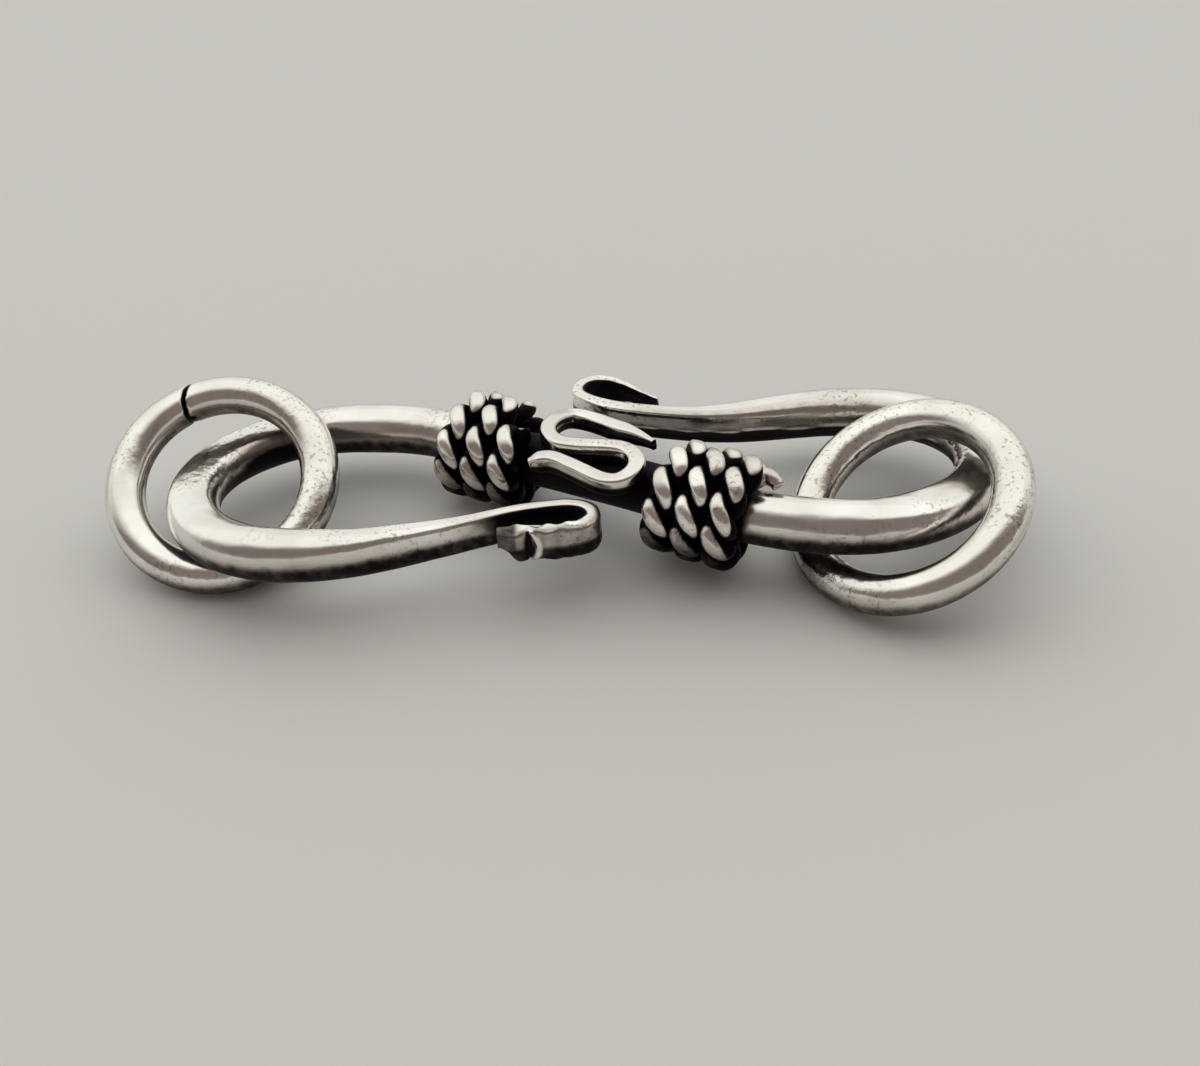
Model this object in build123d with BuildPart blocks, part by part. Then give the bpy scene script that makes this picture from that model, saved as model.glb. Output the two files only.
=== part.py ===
"""S-hook clasp with two loose jump rings, in sterling silver.

A round wire is bent into an S. Its two tips are drawn down, set on edge and curled back outward.
A rope of two twisted wires is wound round the bar on each side of the middle, and a flattened wire
lies over the bar between them in a serpentine. A loose jump ring is linked in each hook.

Millimetres, +Z up. The clasp lies on a wrap and its two rings, on the plane Z = 0, with the origin
under the middle of its whole outline. Places on the hook are given in the plane that it is bent in,
as distances from the middle of the bar.
"""

import os
from math import cos, hypot, pi, sin

from build123d import *

# The hook's wire, and the plane that it is bent in.
WIRE_RADIUS = 0.88
HOOK_X = 1.185
HOOK_Y = 0.56
BAR_HEIGHT = 2.15
HOOK_LEAN = -4.0
BAR_ANGLE = -31.5
BAR_HALF_LENGTH = 6.2

# The centreline from the end of the bar round the bend to the curled tip. The hooks are bent by
# hand, so each has its own list. The left one is given as seen with the clasp turned half round.
RIGHT_ROUTE = [
    (7.5, -4.0), (9.6, -4.05), (11.6, -3.25), (12.95, -1.6), (13.1, 0.3), (11.95, 1.9), (10.0, 2.62),
    (7.9, 2.75), (5.8, 2.55), (3.9, 2.62), (2.4, 3.0), (1.2, 3.45), (0.3, 4.0), (-0.15, 4.65),
    (0.1, 5.3), (0.75, 5.55), (1.45, 5.35), (2.1, 4.85), (2.75, 4.3),
]
LEFT_ROUTE = [
    (7.6, -3.85), (9.8, -3.9), (11.8, -3.05), (13.1, -1.4), (13.2, 0.7), (12.1, 2.5), (10.2, 3.45),
    (8.05, 3.7), (5.9, 3.45), (4.0, 3.05), (2.5, 2.66), (1.3, 2.5), (0.5, 2.52), (0.06, 2.75),
    (-0.1, 3.13), (0.06, 3.5), (0.5, 3.73), (1.3, 3.78), (2.1, 3.8), (2.9, 3.82),
]

# The tips: half height and half thickness of the strip, and of its end, with the shares of the way
# from the middle of the bar to the end over which the wire is drawn down, first to one and then to
# the other.
STRIP_HALF_HEIGHT = 0.58
STRIP_HALF_THICKNESS = 0.27
END_HALF_HEIGHTS = {"left": 0.5, "right": 0.34}
END_HALF_THICKNESSES = {"left": 0.24, "right": 0.1}
STRIP_FROM = 0.56
STRIP_TO = 0.82
END_FROM = 0.91
HOOK_STATIONS = 52
STATION_CROWDING = 0.6

# The rope of two twisted wires wound round the bar, with where each winding starts along the bar and
# the angle round it, from level and away from the viewer, at which it starts. Each wire is worked out
# as many short straight lengths with flat sides.
STRAND_RADIUS = 0.24
STRAND_GAP = 0.42 * STRAND_RADIUS
STRAND_SIDES = 8
WRAP_CLEARANCE = 0.02
TWIST_LENGTH = 7.8 * STRAND_RADIUS
WRAP_PITCH = 4 * STRAND_RADIUS + STRAND_GAP
WRAPS = {"left": (-4.9, 270, 2.45), "right": (3.0, 323, 2.73)}
LENGTHS_PER_TWIST = 8

# The flattened wire over the middle of the bar. Its route is given along and across the bar.
SERPENTINE_THICKNESS = 0.5
SERPENTINE_HEIGHT = 0.62
SERPENTINE_EDGE = 0.12
SERPENTINE_CLEARANCE = 0.05
SERPENTINE_BOW_RADIUS = 4.2
SERPENTINE_POINT = 0.35
SERPENTINE_TAPER = 0.12
SERPENTINE_STATIONS = 48
SERPENTINE_ROUTE = [
    (2.15, 0.9), (1.48, 1.15), (0.43, 1.36), (-0.7, 1.62), (-1.3, 1.5), (-1.52, 0.8), (-1.35, -0.1),
    (-0.75, -0.52), (0.0, -0.45), (0.75, -0.22), (1.42, -0.06), (2.05, -0.28), (2.35, -0.85),
    (2.1, -1.4), (1.5, -1.55), (0.8, -1.45), (0.04, -1.32), (-0.7, -1.3), (-1.2, -1.6),
]

# The jump rings: wire radius, radius to the middle of the wire, and how each one lies.
RING_WIRE_RADIUS = 0.67
RING_RADIUS = 3.33
RING_PLACES = {
    "left": ((-12.45, 0.67, 2.28), (28.9, 0.2, 0)),
    "right": ((10.17, -2.96, 2.29), (11.8, -26.7, 0)),
}
LEFT_SLIT_ANGLE = 112
LEFT_SLIT_WIDTH = 0.08

BAR_MIDDLE = Vector(HOOK_X, HOOK_Y, BAR_HEIGHT)
HOOK_PLANE = Plane(Location(BAR_MIDDLE, (HOOK_LEAN, 0, 0)))
BAR_PLANE = Plane(HOOK_PLANE.location * Location((0, 0, 0), (0, 0, BAR_ANGLE)))


def ease(start, end, place):
    """Rise smoothly from 0 to 1 as place goes from start to end."""
    share = min(max((place - start) / (end - start), 0), 1)
    return share * share * (3 - 2 * share)


def drawn_down(to_tip, strip, end):
    """Return a half size of the hook's section, at a share of the way to the tip."""
    to_strip = (strip - WIRE_RADIUS) * ease(STRIP_FROM, STRIP_TO, to_tip)
    return WIRE_RADIUS + to_strip + (end - strip) * ease(END_FROM, 1, to_tip)


def hook_points(side, route):
    """Return one hook's centreline in space, from the bar to the tip; side is 1 on the right."""
    return [HOOK_PLANE.from_local_coords((side * x, side * y, 0)) for x, y in route]


def make_hook():
    """Loft the whole wire through sections set square to its centreline."""
    bar = [BAR_PLANE.from_local_coords((share * BAR_HALF_LENGTH, 0, 0)) for share in (-1, -0.5, 0, 0.5, 1)]
    points = hook_points(-1, LEFT_ROUTE)[::-1] + bar + hook_points(1, RIGHT_ROUTE)
    with BuildPart() as s_hook:
        with BuildLine() as centreline:
            Spline(*points)
        line = centreline.line
        for station in range(HOOK_STATIONS + 1):
            share = station / HOOK_STATIONS
            place = share - STATION_CROWDING * sin(2 * pi * share) / (2 * pi)
            to_tip = abs(2 * place - 1)
            side = "left" if share < 0.5 else "right"
            half_height = drawn_down(to_tip, STRIP_HALF_HEIGHT, END_HALF_HEIGHTS[side])
            half_thickness = drawn_down(to_tip, STRIP_HALF_THICKNESS, END_HALF_THICKNESSES[side])
            with BuildSketch(Plane(line @ place, x_dir=HOOK_PLANE.z_dir, z_dir=line % place)):
                with BuildLine():
                    EllipticalCenterArc((0, 0), half_height, half_thickness, 0, arc_size=180)
                    EllipticalCenterArc((0, 0), half_height, half_thickness, 180, arc_size=180)
                make_face()
        loft()
    return s_hook.part


def strand_points(start, first_angle, turns, phase):
    """Return points along one of the two wires of the rope that is wound round the bar."""
    coil_radius = WIRE_RADIUS + WRAP_CLEARANCE + 2 * STRAND_RADIUS + STRAND_GAP / 2
    offset = STRAND_RADIUS + STRAND_GAP / 2
    twists = turns * hypot(2 * pi * coil_radius, WRAP_PITCH) / TWIST_LENGTH
    count = round(twists * LENGTHS_PER_TWIST)
    points = []
    for index in range(count + 1):
        share = index / count
        wrap = 2 * pi * (first_angle / 360 - turns * share)
        twist = 2 * pi * (twists * share + phase)
        radius = coil_radius + offset * cos(twist)
        along = start + WRAP_PITCH * turns * share - offset * sin(twist)
        points.append(BAR_PLANE.from_local_coords((along, radius * cos(wrap), radius * sin(wrap))))
    return points


def make_strand(points):
    """Sweep one wire of the rope, mitred at each point."""
    with BuildPart() as wrap_strand:
        with BuildLine() as route:
            Polyline(*points)
        with BuildSketch(Plane(points[0], z_dir=points[1] - points[0])):
            RegularPolygon(STRAND_RADIUS, STRAND_SIDES)
        sweep(path=route.wires()[0], transition=Transition.RIGHT)
    return wrap_strand.part


def make_serpentine():
    """Loft the flattened wire, which bows down to both sides of the bar and starts in a point."""
    middle = WIRE_RADIUS + SERPENTINE_CLEARANCE + SERPENTINE_HEIGHT / 2
    points = [
        BAR_PLANE.from_local_coords((along, across, middle - across**2 / (2 * SERPENTINE_BOW_RADIUS)))
        for along, across in SERPENTINE_ROUTE
    ]
    with BuildPart() as serpentine_wire:
        with BuildLine() as centreline:
            Spline(*points)
        line = centreline.line
        for station in range(SERPENTINE_STATIONS + 1):
            place = station / SERPENTINE_STATIONS
            share = SERPENTINE_POINT + (1 - SERPENTINE_POINT) * ease(0, SERPENTINE_TAPER, place)
            with BuildSketch(Plane(line @ place, x_dir=BAR_PLANE.z_dir, z_dir=line % place)) as section:
                Rectangle(SERPENTINE_HEIGHT, share * SERPENTINE_THICKNESS)
                chamfer(section.vertices(), share * SERPENTINE_EDGE)
        loft()
    return serpentine_wire.part


def make_ring(side, slit_angle, slit_width):
    """Revolve one jump ring about its own axis, leaving a slit of the given width."""
    centre, tilt = RING_PLACES[side]
    centre = Vector(*centre) + Vector(HOOK_X, HOOK_Y, 0)
    ring_plane = Plane(Location(centre, tilt) * Location((0, 0, 0), (0, 0, slit_angle)))
    slit_arc = slit_width / (2 * pi * RING_RADIUS) * 360
    with BuildPart() as ring:
        with BuildSketch(Plane(ring_plane.origin, x_dir=ring_plane.x_dir, z_dir=-ring_plane.y_dir)):
            with Locations((RING_RADIUS, 0)):
                Circle(RING_WIRE_RADIUS)
        revolve(axis=Axis(ring_plane.origin, ring_plane.z_dir), revolution_arc=360 - slit_arc)
    return ring.part


os.makedirs("parts", exist_ok=True)

pieces = {"s_hook": make_hook(), "serpentine_wire": make_serpentine()}
for side, (start, first_angle, turns) in WRAPS.items():
    pieces[f"{side}_wrap_strand_a"] = make_strand(strand_points(start, first_angle, turns, 0))
    pieces[f"{side}_wrap_strand_b"] = make_strand(strand_points(start, first_angle, turns, 0.5))
pieces["left_ring"] = make_ring("left", LEFT_SLIT_ANGLE, LEFT_SLIT_WIDTH)
pieces["right_ring"] = make_ring("right", 0, 0)

for name, piece in pieces.items():
    piece.label = name
    export_step(piece, f"parts/{name}.step")
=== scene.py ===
"""Looks of the s-hook clasp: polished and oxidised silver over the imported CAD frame.

Sizes are in millimetres, as in the CAD source, and meshes are written in metres.
"""

from math import cos, hypot, pi, radians, sin

import bpy
import numpy as np
from mathutils import Matrix, Vector, noise


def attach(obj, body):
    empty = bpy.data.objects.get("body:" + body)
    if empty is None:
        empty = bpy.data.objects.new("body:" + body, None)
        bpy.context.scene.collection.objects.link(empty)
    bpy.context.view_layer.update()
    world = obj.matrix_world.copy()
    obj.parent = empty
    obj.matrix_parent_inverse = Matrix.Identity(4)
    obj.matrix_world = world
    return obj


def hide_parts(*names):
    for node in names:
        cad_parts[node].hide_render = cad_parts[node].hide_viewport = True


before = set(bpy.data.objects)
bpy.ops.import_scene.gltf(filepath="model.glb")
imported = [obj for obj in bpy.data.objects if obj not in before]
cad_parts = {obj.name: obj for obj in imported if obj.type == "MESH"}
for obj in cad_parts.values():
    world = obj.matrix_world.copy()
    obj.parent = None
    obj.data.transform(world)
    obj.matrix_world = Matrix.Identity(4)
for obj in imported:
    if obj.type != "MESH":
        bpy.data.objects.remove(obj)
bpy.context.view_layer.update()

MM = 0.001

# The hook's wire and the plane that it is bent in, as in the CAD source.
WIRE_RADIUS = 0.88
HOOK_X = 1.185
HOOK_Y = 0.56
BAR_HEIGHT = 2.15
HOOK_LEAN = -4.0
BAR_ANGLE = -31.5
BAR_HALF_LENGTH = 6.2
RIGHT_ROUTE = [
    (7.5, -4.0), (9.6, -4.05), (11.6, -3.25), (12.95, -1.6), (13.1, 0.3), (11.95, 1.9), (10.0, 2.62),
    (7.9, 2.75), (5.8, 2.55), (3.9, 2.62), (2.4, 3.0), (1.2, 3.45), (0.3, 4.0), (-0.15, 4.65),
    (0.1, 5.3), (0.75, 5.55), (1.45, 5.35), (2.1, 4.85), (2.75, 4.3),
]
LEFT_ROUTE = [
    (7.6, -3.85), (9.8, -3.9), (11.8, -3.05), (13.1, -1.4), (13.2, 0.7), (12.1, 2.5), (10.2, 3.45),
    (8.05, 3.7), (5.9, 3.45), (4.0, 3.05), (2.5, 2.66), (1.3, 2.5), (0.5, 2.52), (0.06, 2.75),
    (-0.1, 3.13), (0.06, 3.5), (0.5, 3.73), (1.3, 3.78), (2.1, 3.8), (2.9, 3.82),
]
STRIP_HALF_HEIGHT = 0.58
STRIP_FROM = 0.56
STRIP_TO = 0.82
END_FROM = 0.91
HOOK_STATIONS = 1300
HOOK_SIDES = 56
HOOK_HALF_LENGTH = 37.5

# The tips as they look: how thick and tall they end, and how square and how lumpy they are.
SIDE_HALF_THICKNESSES = {"left": 0.28, "right": 0.31}
TIP_HALF_HEIGHTS = {"left": 0.60, "right": 0.20}
TIP_HALF_THICKNESSES = {"left": 0.27, "right": 0.06}
SQUARENESS = {"left": 2.2, "right": 3.8}
LUMPS = {"left": 0.10, "right": 0.03}

# Sizes of the forms worked into the hook by hand.
FLAT_TOP_ABOVE = 0.74
FLAT_TOP_CUT = 0.8
LONG_WAVES = 0.026
SHORT_WAVES = 0.010
ROUGHNESS_DEPTH = 0.05
RIDGE_DEPTH = 0.10
NOTCH_PLACE = 0.973
NOTCH_HALF_WIDTH = 0.24
NOTCH_DEPTH = 0.16
LIP_HALF_WIDTH = 0.16
LIP_HEIGHT = 0.05
FACETS_PER_MM = 1.3
FACET_DEPTH = 0.05
CURL_LIMIT = 0.205

# Where they lie, as shares of the way from the middle to the tip: each rises over the first two
# places, and where it has four, it falls away again over the last two.
FLAT_TOP = (0.25, 0.34, 0.50, 0.60)
# The black on the inner side of the left bend is painted shade and dark reflection.
LEFT_BEND_PAINTED_SHADE = (0.24, 0.34, 0.36, 0.46)
RIGHT_ROUGH = (0.38, 0.41, 0.46, 0.50)
RIGHT_RIDGE = (0.46, 0.54, 0.78, 0.86)
LUMPY_TIP = (0.90, 0.94)
RIGHT_CURL = (0.84, 0.88)
LEFT_FACETS = (0.86, 0.90)
# The dark on the outer side of the left curl is painted dark reflection.
LEFT_CURL_PAINTED_REFLECTION = (0.80, 0.86)
SLOT_OXIDE = {"left": (0.75, 0.84), "right": (0.85, 0.90)}

# Between the wraps the bar is black, and the black fades out over these places.
OXIDE_ENDS = {"left": (0.136, 0.156), "right": (0.162, 0.186)}

# Where they begin and are full across the section, from 0 in its middle to 1 at its edge.
SLOT_SIDE = (0.35, 0.8)
BEND_SIDE = (0.2, 0.8)
RIDGE_SIDE = (0.1, 0.6)
NOTCH_SIDE = (-0.2, 0.5)
UNDERSIDE = (-0.56, 0.22)
STREAKLESS_TOP = (0.35, 0.75)

# How dark they are, from 0, bright, to 1, black.
# The darkening of the undersides is painted shade and dark reflection.
PAINTED_UNDERSIDE_SHADE = 0.7
# The brown streaks on the sides are painted reflection.
PAINTED_STREAKY_REFLECTION = 0.38
# The dark on the outer side of the left curl is painted dark reflection.
LEFT_CURL_PAINTED_DARKNESS = 0.45
PAST_NOTCH_DARKNESS = 0.6
# The brown tone over the far leg's front is partly oxide and partly painted reflection.
RIDGE_FRONT_OXIDE_AND_SHADE = 0.35

# Noise over the hook: how fine it is along the wire, per mm, and round it, with its seed.
LONG_WAVE_NOISE = (0.35, 1.2, 0)
SHORT_WAVE_NOISE = (1.2, 3, 7)
TALL_LUMP_NOISE = (2.4, 1.5, 3)
WIDE_LUMP_NOISE = (2.8, 1.7, 5)
STREAK_NOISE = (0.45, 2.2, 23)
ROUGH_NOISE = (5, 5, 13)
RIDGE_NOISE = (0.7, 0, 11)
FACET_NOISE = (1, 0, 17)

# The noise at which a streak begins, and at which it is full.
STREAK_RANGE = (0.0, 0.45)

# The rope of two twisted wires wound round the bar.
STRAND_RADIUS = 0.24
STRAND_GAP = 0.42 * STRAND_RADIUS
WRAP_CLEARANCE = 0.02
TWIST_LENGTH = 7.8 * STRAND_RADIUS
WRAP_PITCH = 4 * STRAND_RADIUS + STRAND_GAP
WRAPS = {"left": (-4.9, 270, 2.45), "right": (3.0, 323, 2.73)}
LENGTHS_PER_TWIST = 8
STRAND_STATIONS = 420
STRAND_SIDES = 20
STRAND_SWELL = 1.2
STRAND_LUMPS = 0.06
STRAND_TAPER = 0.25
STRAND_TAPER_STATIONS = 5
CREST_DEPTH = 0.03
CREST_LUMPS = 0.02
CREST_LEFT = 0.25
CREST_OXIDE_DEPTHS = (0.25, 0.09)
BRIGHT_END = 0.8
BRIGHT_END_STATIONS = (18, 8)

# The flattened wire over the middle of the bar.
SERPENTINE_HEIGHT = 0.62
SERPENTINE_WIDTH = 0.56
SERPENTINE_CLEARANCE = 0.05
SERPENTINE_BOW_RADIUS = 4.2
SERPENTINE_POINT = 0.35
SERPENTINE_TAPER = 0.12
SERPENTINE_END_FROM = 0.975
SERPENTINE_END_CUT = 0.5
SERPENTINE_LUMPS = 0.07
SERPENTINE_SQUARENESS = 5
SERPENTINE_STATIONS = 420
SERPENTINE_SIDES = 32
SERPENTINE_ROUTE = [
    (2.15, 0.9), (1.48, 1.15), (0.43, 1.36), (-0.7, 1.62), (-1.3, 1.5), (-1.52, 0.8), (-1.35, -0.1),
    (-0.75, -0.52), (0.0, -0.45), (0.75, -0.22), (1.42, -0.06), (2.05, -0.28), (2.35, -0.85),
    (2.1, -1.4), (1.5, -1.55), (0.8, -1.45), (0.04, -1.32), (-0.7, -1.3), (-1.2, -1.6),
]

# The jump rings.
RING_WIRE_RADIUS = 0.67
RING_RADIUS = 3.33
RING_PLACES = {
    "left": ((-12.45, 0.67, 2.28), (28.9, 0.2)),
    "right": ((10.17, -2.96, 2.29), (11.8, -26.7)),
}
LEFT_SLIT_ANGLE = 112
LEFT_SLIT_WIDTH = 0.08
RING_STATIONS = 480
RING_SIDES = 48
RING_WEAR = 0.985
RING_LUMPS = 0.014
RING_RIPPLES = 0.005
# The darkening of the ring's lower side is painted shade and dark reflection.
RING_PAINTED_UNDERSIDE_SHADE = 0.58
SLIT_EDGE_WEAR = 0.10
SLANT_REACH = 40
SLIT_SLANT = 0.5
SLIT_LEAN = 0.10
SLIT_WAVES = 0.07

# The silver: each kind's bright and shaded tones, its oxide, its range of roughness and the strength
# of its scratches, with the brown for oxide and painted shade and the brown for the dots, which multiply the
# tones.
SILVERS = {
    "polished_silver": ((0.95, 0.95, 0.91), (0.80, 0.77, 0.72), (0.012, 0.010, 0.012), (0.10, 0.30), 0.50),
    "oxidised_silver": ((0.93, 0.92, 0.87), (0.68, 0.65, 0.60), (0.006, 0.005, 0.006), (0.14, 0.34), 0.30),
    "ring_silver": ((0.94, 0.94, 0.89), (0.78, 0.76, 0.70), (0.012, 0.010, 0.010), (0.10, 0.26), 0.45),
}
BROWN_PATINA_AND_SHADE = (0.31, 0.20, 0.175)
BROWN_DOTS = (0.60, 0.56, 0.52)

# Noise in the silver, as its scale per metre and its detail.
TONE_CLOUDS = (420.0, 5.0)
OXIDE_CLOUDS = (2600.0, 3.0)
SHEEN_CLOUDS = (900.0, 6.0)
PATCH_CLOUDS = (330.0, 3.0)
PIT_CLOUDS = (3000.0, 5.0)
DOT_CLOUDS = (7000.0, 2.0)
SCRATCH_CLOUDS = (1.6, 3.0)
SCRATCH_STRETCH = (1500.0, 1700.0, 1700.0)

# Between which two values each kind of noise goes from nothing to its full effect.
TONE_RANGE = (0.35, 0.62)
OXIDE_RANGE = (0.42, 0.90)
PATCH_RANGE = (0.46, 0.62)
DOT_RANGE = (0.56, 0.66)

# How much the oxide's edge is broken up, how much duller it is, and how deep the marks are, in metres.
OXIDE_BREAKUP = 0.3
OXIDE_DULLNESS = 0.35
SCRATCH_DEPTH = 0.000012
PIT_DEPTH = 0.00003
PIT_STRENGTH = 0.85

# The room: the floor, the world and the lamp.
FLOOR_REACH = 2.0
FLOOR_COLOUR = (0.80, 0.80, 0.78)
FLOOR_ROUGHNESS = 0.6
ROOM_COLOUR = (0.56, 0.56, 0.54)
ROOM_HEIGHTS = (0.12, 0.22)
SKY_TOWARDS = (0, 0.9, 0.436)
SKY_DIM = (0.20, 0.165, 0.15)
SKY_PALE = (0.90, 0.89, 0.85)
SKY_PALE_FROM = 0.36
LAMP_PLACE = (0, 42, 95)
LAMP_SIZE = (230, 138)
LAMP_POWER = 0.014
LAMP_COLOUR = (1.0, 0.99, 0.95)

# The camera: what it looks at, how far off and how high it is, and how it is turned.
CAMERA_TARGET = (HOOK_X + 0.31, HOOK_Y - 0.68, 0.0)
CAMERA_DISTANCE = 43.0
CAMERA_ELEVATION = 40.2
CAMERA_ROLL = -3.88
CAMERA_LENS = 37.3

HOOK_FRAME = Matrix.Translation((HOOK_X, HOOK_Y, BAR_HEIGHT)) @ Matrix.Rotation(radians(HOOK_LEAN), 4, "X")
BAR_FRAME = HOOK_FRAME @ Matrix.Rotation(radians(BAR_ANGLE), 4, "Z")


def ease(start, end, place):
    """Rise smoothly from 0 to 1 as place goes from start to end."""
    share = min(max((place - start) / (end - start), 0), 1)
    return share * share * (3 - 2 * share)


def stretch(rise, full, fade, gone, place):
    """Rise smoothly from 0 to 1, and fall back to 0 further along."""
    return ease(rise, full, place) * (1 - ease(fade, gone, place))


def spline(points, count):
    """Return count points, evenly spread, on the natural cubic spline through the given ones."""
    points = np.array(points, float)
    steps = np.linalg.norm(np.diff(points, axis=0), axis=1)
    knots = np.concatenate(([0], np.cumsum(steps)))
    size = len(points)
    system = np.eye(size)
    slopes = np.zeros_like(points)
    for i in range(1, size - 1):
        system[i, i - 1 : i + 2] = steps[i - 1], 2 * (steps[i - 1] + steps[i]), steps[i]
        slopes[i] = 6 * ((points[i + 1] - points[i]) / steps[i] - (points[i] - points[i - 1]) / steps[i - 1])
    bends = np.linalg.solve(system, slopes)
    places = np.linspace(0, knots[-1], count)
    index = np.clip(np.searchsorted(knots, places, side="right") - 1, 0, size - 2)
    step = steps[index][:, None]
    after = (knots[index + 1] - places)[:, None] / step
    before = 1 - after
    curve = after * points[index] + before * points[index + 1]
    curve += ((after**3 - after) * bends[index] + (before**3 - before) * bends[index + 1]) * step**2 / 6
    return curve


def tube(name, centres, sides, outline, closed=False):
    """Return a smooth mesh object whose sections are set square to the line through centres.

    sides gives the direction of each section's own X, and outline(i, angle) a point (x, y) of section i
    with a value from 0, bright, to 1, dark, which is kept as the attribute "tarnish" and holds both oxide
    and painted shade.
    """
    count = len(centres)
    around = outline.sides
    tangents = np.gradient(centres, axis=0)
    if closed:
        tangents = np.roll(centres, -1, axis=0) - np.roll(centres, 1, axis=0)
    vertices, tarnish_and_shade = [], []
    for i in range(count):
        tangent = Vector(tangents[i]).normalized()
        side = Vector(sides[i])
        side = (side - side.dot(tangent) * tangent).normalized()
        across = tangent.cross(side)
        for j in range(around):
            x, y, dark = outline(i, 2 * pi * j / around)
            vertices.append((Vector(centres[i]) + x * side + y * across) * MM)
            tarnish_and_shade.append(dark)
    faces = []
    for i in range(count if closed else count - 1):
        for j in range(around):
            k = (j + 1) % around
            n = (i + 1) % count
            faces.append((i * around + j, i * around + k, n * around + k, n * around + j))
    if not closed:
        faces.append(tuple(reversed(range(around))))
        faces.append(tuple(range((count - 1) * around, count * around)))
    mesh = bpy.data.meshes.new(name)
    mesh.from_pydata(vertices, [], faces)
    mesh.polygons.foreach_set("use_smooth", [True] * len(faces))
    if not closed:
        mesh.polygons[-1].use_smooth = False
        mesh.polygons[-2].use_smooth = False
    mesh.attributes.new("tarnish_and_shade", "FLOAT", "POINT").data.foreach_set("value", tarnish_and_shade)
    mesh.update()
    piece = bpy.data.objects.new(name, mesh)
    bpy.context.scene.collection.objects.link(piece)
    return piece


def drawn_down(to_tip, strip, end):
    """Return a half size of the hook's section, at a share of the way to the tip."""
    to_strip = (strip - WIRE_RADIUS) * ease(STRIP_FROM, STRIP_TO, to_tip)
    return WIRE_RADIUS + to_strip + (end - strip) * ease(END_FROM, 1, to_tip)


def rounded(angle, half_x, half_y, power):
    """Return a point of a superellipse: power 2 is an ellipse, and a higher one is squarer."""
    c, s = cos(angle), sin(angle)
    scale = (abs(c) ** power + abs(s) ** power) ** (-1 / power)
    return half_x * c * scale, half_y * s * scale


def grain(point, scale, seed=0.0):
    """Return smooth noise from -1 to 1 at a place in millimetres."""
    return noise.noise(Vector(point) * scale + Vector((seed, seed, seed)))


def marks(along, angle, per_mm, around, seed):
    """Return smooth noise from -1 to 1 over a wire, at a place along it and an angle round it."""
    return grain((per_mm * along, around * cos(angle), around * sin(angle)), 1, seed)


def hook_line():
    """Return the hook's centreline, and each station's share of the way from the middle to a tip."""
    angle = radians(BAR_ANGLE)
    bar = [
        (share * BAR_HALF_LENGTH * cos(angle), share * BAR_HALF_LENGTH * sin(angle))
        for share in (-1, -0.5, 0, 0.5, 1)
    ]
    flat = spline([(-x, -y) for x, y in LEFT_ROUTE][::-1] + bar + RIGHT_ROUTE, HOOK_STATIONS)
    centres = np.array([HOOK_FRAME @ Vector((x, y, 0)) for x, y in flat])
    return centres, [abs(2 * i / (HOOK_STATIONS - 1) - 1) for i in range(HOOK_STATIONS)]


def make_hook():
    """Make the bent wire: round, drawn down to strips on edge at the tips, with filed and hammered flats."""
    centres, shares = hook_line()
    step = 2 * HOOK_HALF_LENGTH / HOOK_STATIONS
    up = HOOK_FRAME.to_3x3() @ Vector((0, 0, 1))

    def outline(i, angle):
        to_tip = shares[i]
        end = "left" if 2 * i < HOOK_STATIONS else "right"
        height = drawn_down(to_tip, STRIP_HALF_HEIGHT, TIP_HALF_HEIGHTS[end])
        thick = drawn_down(to_tip, SIDE_HALF_THICKNESSES[end], TIP_HALF_THICKNESSES[end])
        strip = ease(STRIP_FROM, STRIP_TO, to_tip)
        x, y = rounded(angle, height, thick, 2 + SQUARENESS[end] * strip)
        # The tops of the bends are filed flat, which leaves a ridge along each edge.
        x -= stretch(*FLAT_TOP, to_tip) * FLAT_TOP_CUT * max(x - FLAT_TOP_ABOVE * height, 0)
        # Hammer marks are long and shallow, and the curled tips are lumpy.
        along = i * step
        wear = 1 + LONG_WAVES * marks(along, angle, *LONG_WAVE_NOISE)
        wear += SHORT_WAVES * marks(along, angle, *SHORT_WAVE_NOISE)
        lumps = ease(*LUMPY_TIP, to_tip) * LUMPS[end]
        x += lumps * marks(along, angle, *TALL_LUMP_NOISE)
        y += 0.6 * lumps * marks(along, angle, *WIDE_LUMP_NOISE)
        # Black oxide is left between the wraps and in the slot of each curl, and painted shade and dark
        # reflection darken the underside.
        inner = y / thick if end == "right" else -y / thick
        dark = 1 - ease(*OXIDE_ENDS[end], to_tip)
        dark = max(dark, ease(*SLOT_OXIDE[end], to_tip) * ease(*SLOT_SIDE, inner))
        dark = max(dark, PAINTED_UNDERSIDE_SHADE * ease(*UNDERSIDE, -x / height))
        # Long brown streaks are painted along the sides, off the bright top, as streaky brown reflection.
        streak = ease(*STREAK_RANGE, marks(along, angle, *STREAK_NOISE))
        dark = max(dark, PAINTED_STREAKY_REFLECTION * streak * (1 - ease(*STREAKLESS_TOP, x / height)))
        if end == "left":
            x, y, dark = work_left(x, y, dark, height, inner, to_tip, along, angle)
        else:
            y, dark = work_right(x, y, dark, height, thick, inner, to_tip, along, angle)
        return x * wear, y * wear, dark

    outline.sides = HOOK_SIDES
    return tube("s_hook_wire", centres, [up] * HOOK_STATIONS, outline)


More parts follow.
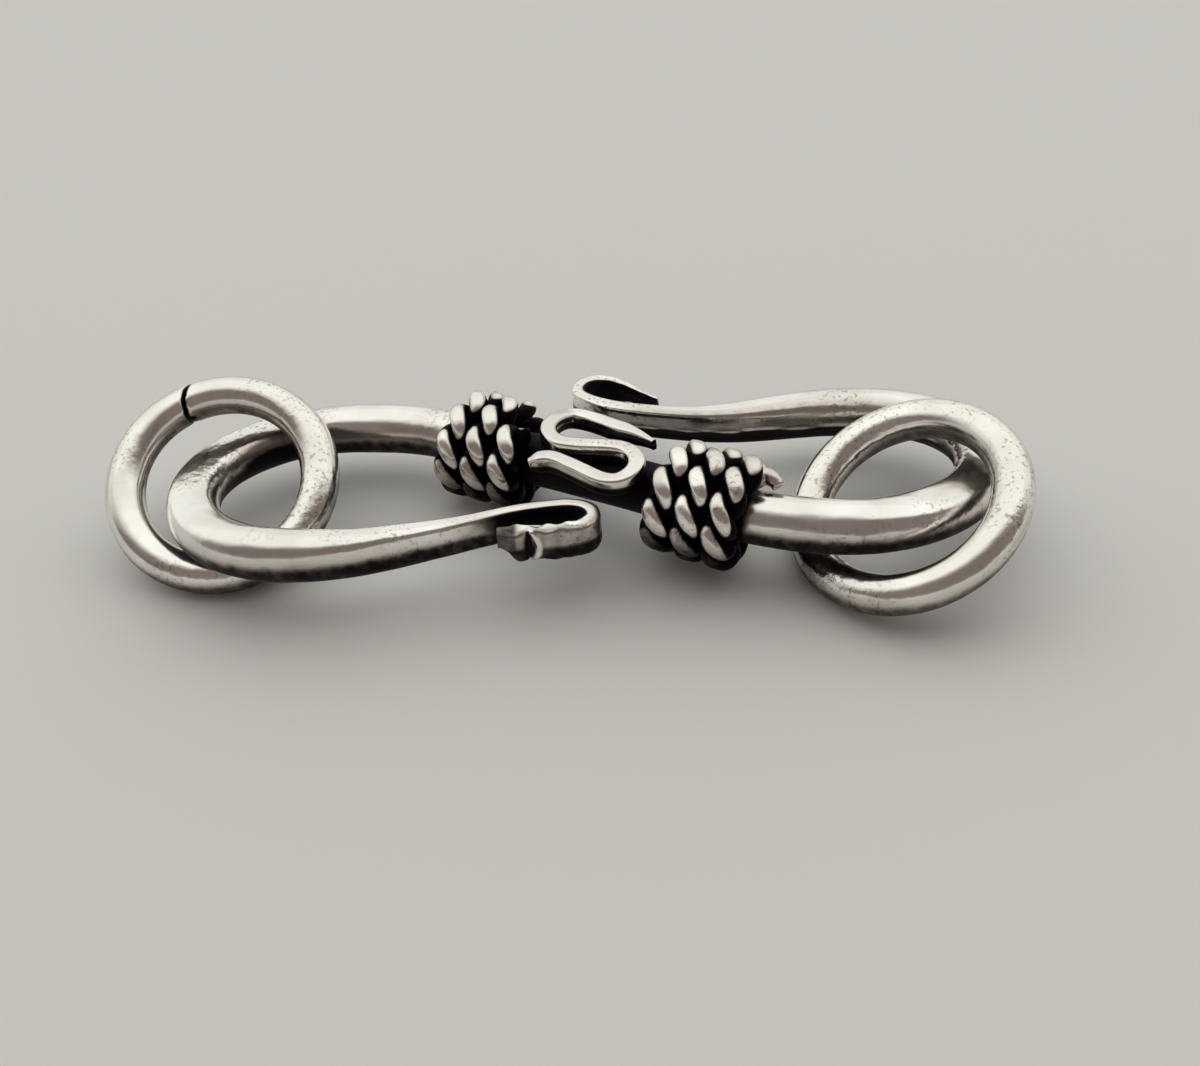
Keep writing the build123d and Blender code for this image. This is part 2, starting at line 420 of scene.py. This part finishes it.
def work_left(x, y, dark, height, inner, to_tip, along, angle):
    """Work the left hook's own forms into a point of its section."""
    # The inner side of the bend is painted black as shade and dark reflection, darkest towards its lower
    # side.
    black = ease(*BEND_SIDE, -inner) * stretch(*LEFT_BEND_PAINTED_SHADE, to_tip)
    dark = max(dark, black * (0.4 + 0.6 * ease(-0.5, 0.1, -x / height)))
    # A notch with a bright lip is cut across the outer side of the tip, which is trimmed below past it.
    past_notch = (to_tip - NOTCH_PLACE) * HOOK_HALF_LENGTH
    outer = ease(*NOTCH_SIDE, -inner)
    width = NOTCH_HALF_WIDTH * max(1.15 - (x / height) ** 2, 0.15)
    notch = outer * (1 - ease(0, width, abs(past_notch)))
    lip = outer * (1 - ease(0, LIP_HALF_WIDTH, abs(past_notch + 1.25 * width)))
    y -= notch * NOTCH_DEPTH - lip * LIP_HEIGHT
    # The outer side of the curl is darkened with painted dark reflection.
    curl_painted_reflection = LEFT_CURL_PAINTED_DARKNESS * outer * ease(*LEFT_CURL_PAINTED_REFLECTION, to_tip)
    dark = max(dark, notch, curl_painted_reflection, PAST_NOTCH_DARKNESS * ease(0.1, 0.5, past_notch))
    dark *= 1 - lip
    x = max(x, -height * (1 - 1.25 * ease(0.2, 1.0, past_notch)))
    # The outer side of the curl is beaten into short facets.
    beaten = (FACETS_PER_MM * along + 0.5 * marks(along, angle, *FACET_NOISE)) % 1
    y += FACET_DEPTH * outer * ease(*LEFT_FACETS, to_tip) * abs(2 * beaten - 1)
    return x, y, dark


def work_right(x, y, dark, height, thick, inner, to_tip, along, angle):
    """Work the right hook's own forms into a point of its section."""
    # The inner side of the bend is left rough where it turns into the far leg.
    rough = ease(*BEND_SIDE, -inner) * stretch(*RIGHT_ROUGH, to_tip)
    y += ROUGHNESS_DEPTH * rough * marks(along, angle, *ROUGH_NOISE)
    # The far leg has a wandering bright ridge along its front. The black below it and the brown tone over
    # the front are partly oxide and partly painted shade and dark reflection, and the ridge line is kept
    # bright as a painted highlight.
    front = ease(*RIDGE_SIDE, -inner) * stretch(*RIGHT_RIDGE, to_tip)
    above = x / height + 0.05 + 0.16 * marks(along, angle, *RIDGE_NOISE)
    y += RIDGE_DEPTH * front * ease(0, 0.5, -above)
    dark = max(dark, front * ease(0.06, 0.20, -above), RIDGE_FRONT_OXIDE_AND_SHADE * front)
    dark *= 1 - front * (1 - ease(0, 0.08, abs(above)))
    # The outer side of the curl is flat, and keeps within the solid.
    y = max(y, -thick - ease(*RIGHT_CURL, to_tip) * (CURL_LIMIT - thick))
    return y, dark


def strand_points(start, first_angle, turns, phase):
    """Return points along one of the two wires of the rope that is wound round the bar."""
    coil_radius = WIRE_RADIUS + WRAP_CLEARANCE + 2 * STRAND_RADIUS + STRAND_GAP / 2
    offset = STRAND_RADIUS + STRAND_GAP / 2
    twists = turns * hypot(2 * pi * coil_radius, WRAP_PITCH) / TWIST_LENGTH
    count = round(twists * LENGTHS_PER_TWIST)
    points = []
    for index in range(count + 1):
        share = index / count
        wrap = 2 * pi * (first_angle / 360 - turns * share)
        twist = 2 * pi * (twists * share + phase)
        radius = coil_radius + offset * cos(twist)
        along = start + WRAP_PITCH * turns * share - offset * sin(twist)
        points.append((along, radius * cos(wrap), radius * sin(wrap)))
    return points


def make_strand(name, start, first_angle, turns, phase, cut):
    """Make one wire of the rope, squeezed against its neighbours and worn flat on its crests."""
    points = strand_points(start, first_angle, turns, phase)
    # A bright cut end stands out from the rope and turns down a little.
    if cut == "bright":
        along, across, height = points[-1]
        points += [(along + 0.3, across, height - 0.05), (along + 0.55, across - 0.1, height - 0.2)]
    local = spline(points, STRAND_STATIONS)
    centres = np.array([BAR_FRAME @ Vector(point) for point in local])
    ups = [BAR_FRAME.to_3x3() @ Vector((0, point[1], point[2])).normalized() for point in local]
    outer = WIRE_RADIUS + WRAP_CLEARANCE + 4 * STRAND_RADIUS + STRAND_GAP

    def outline(i, angle):
        wear = 1 + STRAND_LUMPS * grain(centres[i], 1.7, phase * 9)
        wear *= 1 - STRAND_TAPER * (1 - ease(0, STRAND_TAPER_STATIONS, min(i, STRAND_STATIONS - 1 - i)))
        x = STRAND_SWELL * STRAND_RADIUS * cos(angle) * wear
        y = STRAND_SWELL * STRAND_RADIUS * sin(angle) * wear
        centre_radius = hypot(local[i][1], local[i][2])
        radius = centre_radius + x
        crest = outer - CREST_DEPTH + CREST_LUMPS * grain(centres[i], 2.4, 4.0)
        worn = min(radius, crest + CREST_LEFT * max(radius - crest, 0))
        worn = min(worn, outer)
        black, bright = CREST_OXIDE_DEPTHS
        dark = 1 - ease(outer - black, outer - bright, radius)
        # The strand's downward side is darkened with painted shade and dark reflection.
        dark = max(dark, PAINTED_UNDERSIDE_SHADE * ease(-0.45, 0.6, -ups[i].z))
        if cut == "bright":
            first, full = BRIGHT_END_STATIONS
            dark *= 1 - BRIGHT_END * ease(STRAND_STATIONS - first, STRAND_STATIONS - full, i)
        return worn - centre_radius, y, dark

    outline.sides = STRAND_SIDES
    return tube(name, centres, ups, outline)


def make_serpentine():
    """Make the flattened wire: a bright top with soft edges, and dark sides."""
    middle = WIRE_RADIUS + SERPENTINE_CLEARANCE + SERPENTINE_HEIGHT / 2
    count = SERPENTINE_STATIONS
    bowed = [(a, t, middle - t**2 / (2 * SERPENTINE_BOW_RADIUS)) for a, t in SERPENTINE_ROUTE]
    local = spline(bowed, count)
    centres = np.array([BAR_FRAME @ Vector(point) for point in local])
    up = BAR_FRAME.to_3x3() @ Vector((0, 0, 1))

    def outline(i, angle):
        place = i / (count - 1)
        share = SERPENTINE_POINT + (1 - SERPENTINE_POINT) * ease(0, SERPENTINE_TAPER, place)
        share *= 1 - SERPENTINE_END_CUT * ease(SERPENTINE_END_FROM, 1, place)
        half_height, half_width = share**0.5 * SERPENTINE_HEIGHT / 2, share * SERPENTINE_WIDTH / 2
        x, y = rounded(angle, half_height, half_width, SERPENTINE_SQUARENESS)
        wear = 1 + SERPENTINE_LUMPS * grain(centres[i], 1.8, 3.0)
        return x, y * wear, 1 - ease(-0.5, 0.5, 2 * x / SERPENTINE_HEIGHT)

    outline.sides = SERPENTINE_SIDES
    return tube("serpentine_strip", centres, [up] * count, outline)


def make_ring(name, side, slit_angle, slit_width):
    """Make one jump ring of round wire, with a rough butt joint where it has a slit."""
    centre, (tilt_x, tilt_y) = RING_PLACES[side]
    place = Matrix.Translation(Vector(centre) + Vector((HOOK_X, HOOK_Y, 0)))
    place = place @ Matrix.Rotation(radians(tilt_x), 4, "X") @ Matrix.Rotation(radians(tilt_y), 4, "Y")
    half = slit_width / 2 / RING_RADIUS
    count = RING_STATIONS
    turns = [radians(slit_angle) + half + (2 * pi - 2 * half) * i / (count - 1) for i in range(count)]
    if not slit_width:
        turns = [2 * pi * i / count for i in range(count)]
    centres = np.array([place @ Vector((RING_RADIUS * cos(t), RING_RADIUS * sin(t), 0)) for t in turns])
    axis = place.to_3x3() @ Vector((0, 0, 1))
    ups = [axis] * count
    outwards = [place.to_3x3() @ Vector((cos(t), sin(t), 0)) for t in turns]

    def outline(i, angle):
        facing = axis.z * cos(angle) + outwards[i].z * sin(angle)
        spot = (0.9 * cos(turns[i]), 0.9 * sin(turns[i]), 1.1 * cos(angle))
        fine = (4.0 * turns[i], 2.2 * cos(angle), 2.2 * sin(angle))
        wear = RING_WEAR + RING_LUMPS * grain(spot, 1, 5.0 + tilt_x) + RING_RIPPLES * grain(fine, 1, 2.0)
        # The ring's lower side is darkened with painted shade and dark reflection.
        dark = RING_PAINTED_UNDERSIDE_SHADE * ease(-0.55, 0.25, -facing)
        # Brown streaks are painted on the ring's sides and underside, off its top, as streaky brown
        # reflection.
        long_spot = (1.6 * cos(turns[i]), 1.6 * sin(turns[i]), 2.0 * facing)
        streak = ease(*STREAK_RANGE, grain(long_spot, 1, 29 + tilt_x))
        dark = max(dark, PAINTED_STREAKY_REFLECTION * streak * (1 - ease(0.35, 0.80, facing)))
        if slit_width:
            ragged = 3 + 10 * ease(-0.1, 0.4, grain((3 * cos(angle), 3 * sin(angle), 0), 1, 21))
            edge = max(1 - ease(0, 2, i), 1 - ease(0, ragged, count - 1 - i))
            dark = max(dark, edge)
            wear *= 1 - SLIT_EDGE_WEAR * edge
        return RING_WIRE_RADIUS * cos(angle) * wear, RING_WIRE_RADIUS * sin(angle) * wear, dark

    outline.sides = RING_SIDES
    ring = tube(name, centres, ups, outline, closed=not slit_width)
    if slit_width:
        slant_slit(ring, place, count, outline.sides)
    return ring


def slant_slit(ring, place, count, around):
    """Turn the two faces of the slit a little aslant and make them wavy, keeping the gap between them."""
    to_ring = place.inverted()
    for i in (*range(SLANT_REACH), *range(count - SLANT_REACH, count)):
        fade = 1 - ease(0, SLANT_REACH, min(i, count - 1 - i))
        for j in range(around):
            vertex = ring.data.vertices[i * around + j]
            local = to_ring @ (vertex.co / MM)
            outwards = hypot(local.x, local.y) - RING_RADIUS
            shift = SLIT_LEAN * local.z - SLIT_SLANT * outwards
            shift += SLIT_WAVES * grain((2.4 * local.z, 2.4 * outwards, 0), 1, 9)
            turn = Matrix.Rotation(fade * shift / RING_RADIUS, 4, "Z")
            vertex.co = place @ (turn @ local) * MM


def link(tree, source, output, target, socket):
    """Join one node's output to another's input."""
    tree.links.new(source.outputs[output], target.inputs[socket])


def clouds(tree, where, scale, detail):
    """Return a noise texture node that is fixed to the object."""
    texture = tree.nodes.new("ShaderNodeTexNoise")
    texture.inputs["Scale"].default_value = scale
    texture.inputs["Detail"].default_value = detail
    link(tree, where, "Object", texture, "Vector")
    return texture


def smooth_step(tree, source, output, low, high):
    """Return a node that rises smoothly from 0 to 1 as another's output goes from low to high."""
    step = tree.nodes.new("ShaderNodeMapRange")
    step.interpolation_type = "SMOOTHSTEP"
    step.inputs["From Min"].default_value = low
    step.inputs["From Max"].default_value = high
    link(tree, source, output, step, "Value")
    return step


def mix(tree, factor, output, first, second, blend="MIX"):
    """Return a node that mixes a socket's colour with one given colour."""
    blended = tree.nodes.new("ShaderNodeMix")
    blended.data_type = "RGBA"
    blended.blend_type = blend
    link(tree, factor, output, blended, "Factor")
    tree.links.new(first, blended.inputs[6])
    blended.inputs[7].default_value = (*second, 1)
    return blended


def times(tree, first, first_output, second, second_output):
    """Return a node that multiplies two outputs."""
    product = tree.nodes.new("ShaderNodeMath")
    product.operation = "MULTIPLY"
    link(tree, first, first_output, product, 0)
    link(tree, second, second_output, product, 1)
    return product


def times_and_add(tree, first, first_output, factor, second, second_output):
    """Return a node that multiplies one output by a number and adds another output."""
    total = tree.nodes.new("ShaderNodeMath")
    total.operation = "MULTIPLY_ADD"
    total.inputs[1].default_value = factor
    link(tree, first, first_output, total, 0)
    link(tree, second, second_output, total, 2)
    return total


def silver(name, bright, shade, oxide, rough, scratch):
    """Return a worn silver: cloudy tones, scratches, pits, and brown to black where "tarnish" is high, from
    oxide and from painted shade.
    """
    material = bpy.data.materials.new(name)
    material.use_nodes = True
    tree = material.node_tree
    shader = tree.nodes["Principled BSDF"]
    shader.inputs["Metallic"].default_value = 1.0
    where = tree.nodes.new("ShaderNodeTexCoord")

    # The bare metal is cloudy, and browner and then black where "tarnish" is high, which is partly oxide and
    # partly painted shade and reflection.
    tones = tree.nodes.new("ShaderNodeValToRGB")
    tones.color_ramp.elements[0].position = TONE_RANGE[0]
    tones.color_ramp.elements[0].color = (*shade, 1)
    tones.color_ramp.elements[1].position = TONE_RANGE[1]
    tones.color_ramp.elements[1].color = (*bright, 1)
    link(tree, clouds(tree, where, *TONE_CLOUDS), "Fac", tones, "Fac")
    dark = tree.nodes.new("ShaderNodeAttribute")
    dark.attribute_name = "tarnish_and_shade"
    patina_and_shade = mix(tree, dark, "Fac", tones.outputs["Color"], BROWN_PATINA_AND_SHADE, "MULTIPLY")
    broken = times_and_add(tree, clouds(tree, where, *OXIDE_CLOUDS), "Fac", OXIDE_BREAKUP, dark, "Fac")
    mask = smooth_step(tree, broken, "Value", *OXIDE_RANGE)
    paint = mix(tree, mask, "Result", patina_and_shade.outputs[2], oxide)

    # The sheen is hazy, and the oxide is duller.
    sheen = tree.nodes.new("ShaderNodeMapRange")
    sheen.inputs["To Min"].default_value = rough[0]
    sheen.inputs["To Max"].default_value = rough[1]
    link(tree, clouds(tree, where, *SHEEN_CLOUDS), "Fac", sheen, "Value")
    dull = times_and_add(tree, mask, "Result", OXIDE_DULLNESS, sheen, "Result")
    link(tree, dull, "Value", shader, "Roughness")

    # Fine scratches lie all over.
    stretched = tree.nodes.new("ShaderNodeMapping")
    stretched.inputs["Scale"].default_value = SCRATCH_STRETCH
    link(tree, where, "Object", stretched, "Vector")
    lines = tree.nodes.new("ShaderNodeTexNoise")
    lines.inputs["Scale"].default_value = SCRATCH_CLOUDS[0]
    lines.inputs["Detail"].default_value = SCRATCH_CLOUDS[1]
    link(tree, stretched, "Vector", lines, "Vector")
    scratched = tree.nodes.new("ShaderNodeBump")
    scratched.inputs["Strength"].default_value = scratch
    scratched.inputs["Distance"].default_value = SCRATCH_DEPTH
    link(tree, lines, "Fac", scratched, "Height")

    # Pits and dark dots come in patches.
    patches = smooth_step(tree, clouds(tree, where, *PATCH_CLOUDS), "Fac", *PATCH_RANGE)
    pits = times(tree, clouds(tree, where, *PIT_CLOUDS), "Fac", patches, "Result")
    pitted = tree.nodes.new("ShaderNodeBump")
    pitted.inputs["Strength"].default_value = PIT_STRENGTH
    pitted.inputs["Distance"].default_value = PIT_DEPTH
    link(tree, pits, "Value", pitted, "Height")
    link(tree, scratched, "Normal", pitted, "Normal")
    link(tree, pitted, "Normal", shader, "Normal")
    dots = smooth_step(tree, clouds(tree, where, *DOT_CLOUDS), "Fac", *DOT_RANGE)
    specks = times(tree, dots, "Result", patches, "Result")
    spotted = mix(tree, specks, "Value", paint.outputs[2], BROWN_DOTS, "MULTIPLY")
    tree.links.new(spotted.outputs[2], shader.inputs["Base Color"])
    return material


def plain_floor():
    """Lay a pale matt floor that reaches well past the view."""
    mesh = bpy.data.meshes.new("floor")
    corners = [(FLOOR_REACH * x, FLOOR_REACH * y, 0) for x, y in ((-1, -1), (1, -1), (1, 1), (-1, 1))]
    mesh.from_pydata(corners, [], [(0, 1, 2, 3)])
    floor = bpy.data.objects.new("floor", mesh)
    bpy.context.scene.collection.objects.link(floor)
    material = bpy.data.materials.new("pale_floor")
    material.use_nodes = True
    shader = material.node_tree.nodes["Principled BSDF"]
    shader.inputs["Base Color"].default_value = (*FLOOR_COLOUR, 1)
    shader.inputs["Roughness"].default_value = FLOOR_ROUGHNESS
    mesh.materials.append(material)


def overhead_lamp():
    """Hang one wide soft lamp above the object, facing down."""
    light = bpy.data.lights.new("overhead", "AREA")
    light.shape = "RECTANGLE"
    light.size, light.size_y = LAMP_SIZE[0] * MM, LAMP_SIZE[1] * MM
    light.energy = LAMP_POWER
    light.color = LAMP_COLOUR
    lamp = bpy.data.objects.new("overhead", light)
    bpy.context.scene.collection.objects.link(lamp)
    lamp.location = Vector(LAMP_PLACE) * MM


def studio():
    """Make the world's light: pale from above and behind, dim from the front, and plain near the horizon."""
    world = bpy.data.worlds.new("studio")
    world.use_nodes = True
    tree = world.node_tree
    where = tree.nodes.new("ShaderNodeTexCoord")
    towards = tree.nodes.new("ShaderNodeVectorMath")
    towards.operation = "DOT_PRODUCT"
    towards.inputs[1].default_value = SKY_TOWARDS
    link(tree, where, "Generated", towards, 0)
    sky = tree.nodes.new("ShaderNodeValToRGB")
    sky.color_ramp.elements[0].position = 0.0
    sky.color_ramp.elements[0].color = (*SKY_DIM, 1)
    sky.color_ramp.elements[1].position = SKY_PALE_FROM
    sky.color_ramp.elements[1].color = (*SKY_PALE, 1)
    link(tree, towards, "Value", sky, "Fac")
    # Near the horizon the room is as plain and pale as the floor.
    heights = tree.nodes.new("ShaderNodeSeparateXYZ")
    link(tree, where, "Generated", heights, "Vector")
    low = smooth_step(tree, heights, "Z", *ROOM_HEIGHTS)
    low.inputs["To Min"].default_value = 1.0
    low.inputs["To Max"].default_value = 0.0
    room = mix(tree, low, "Result", sky.outputs["Color"], ROOM_COLOUR)
    tree.links.new(room.outputs[2], tree.nodes["Background"].inputs["Color"])
    bpy.context.scene.world = world


def camera():
    """Set the camera at the viewing angle."""
    data = bpy.data.cameras.new("camera")
    data.lens = CAMERA_LENS
    data.sensor_width = 36.0
    data.clip_start = 0.001
    lens = bpy.data.objects.new("camera", data)
    bpy.context.scene.collection.objects.link(lens)
    elevation = radians(CAMERA_ELEVATION)
    target = Vector(CAMERA_TARGET)
    lens.location = (target + CAMERA_DISTANCE * Vector((0, -cos(elevation), sin(elevation)))) * MM
    lens.rotation_euler = (
        Matrix.Rotation(pi / 2 - elevation, 4, "X") @ Matrix.Rotation(radians(CAMERA_ROLL), 4, "Z")
    ).to_euler()
    bpy.context.scene.camera = lens


def dress(piece, body, slot, *nodes):
    """Give a piece a slot with the silver of one name and attach it to its body, and hide the CAD nodes that
    it stands for.
    """
    piece.data.materials.append(materials[slot])
    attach(piece, body)
    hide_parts(*nodes)


bpy.context.scene.view_settings.view_transform = "Standard"

materials = {name: silver(name, *finish) for name, finish in SILVERS.items()}

dress(make_hook(), "hook", "polished_silver", "s_hook")
for side, (start, first_angle, turns) in WRAPS.items():
    for letter, phase in (("a", 0), ("b", 0.5)):
        cut = "bright" if side == "right" else "black"
        strand = make_strand(f"{side}_rope_wire_{letter}", start, first_angle, turns, phase, cut)
        dress(strand, "hook", "oxidised_silver", f"{side}_wrap_strand_{letter}")
dress(make_serpentine(), "hook", "polished_silver", "serpentine_wire")
left_ring = make_ring("left_jump_ring", "left", LEFT_SLIT_ANGLE, LEFT_SLIT_WIDTH)
dress(left_ring, "left_ring", "ring_silver", "left_ring")
dress(make_ring("right_jump_ring", "right", 0, 0), "right_ring", "ring_silver", "right_ring")

plain_floor()
studio()
overhead_lamp()
camera()
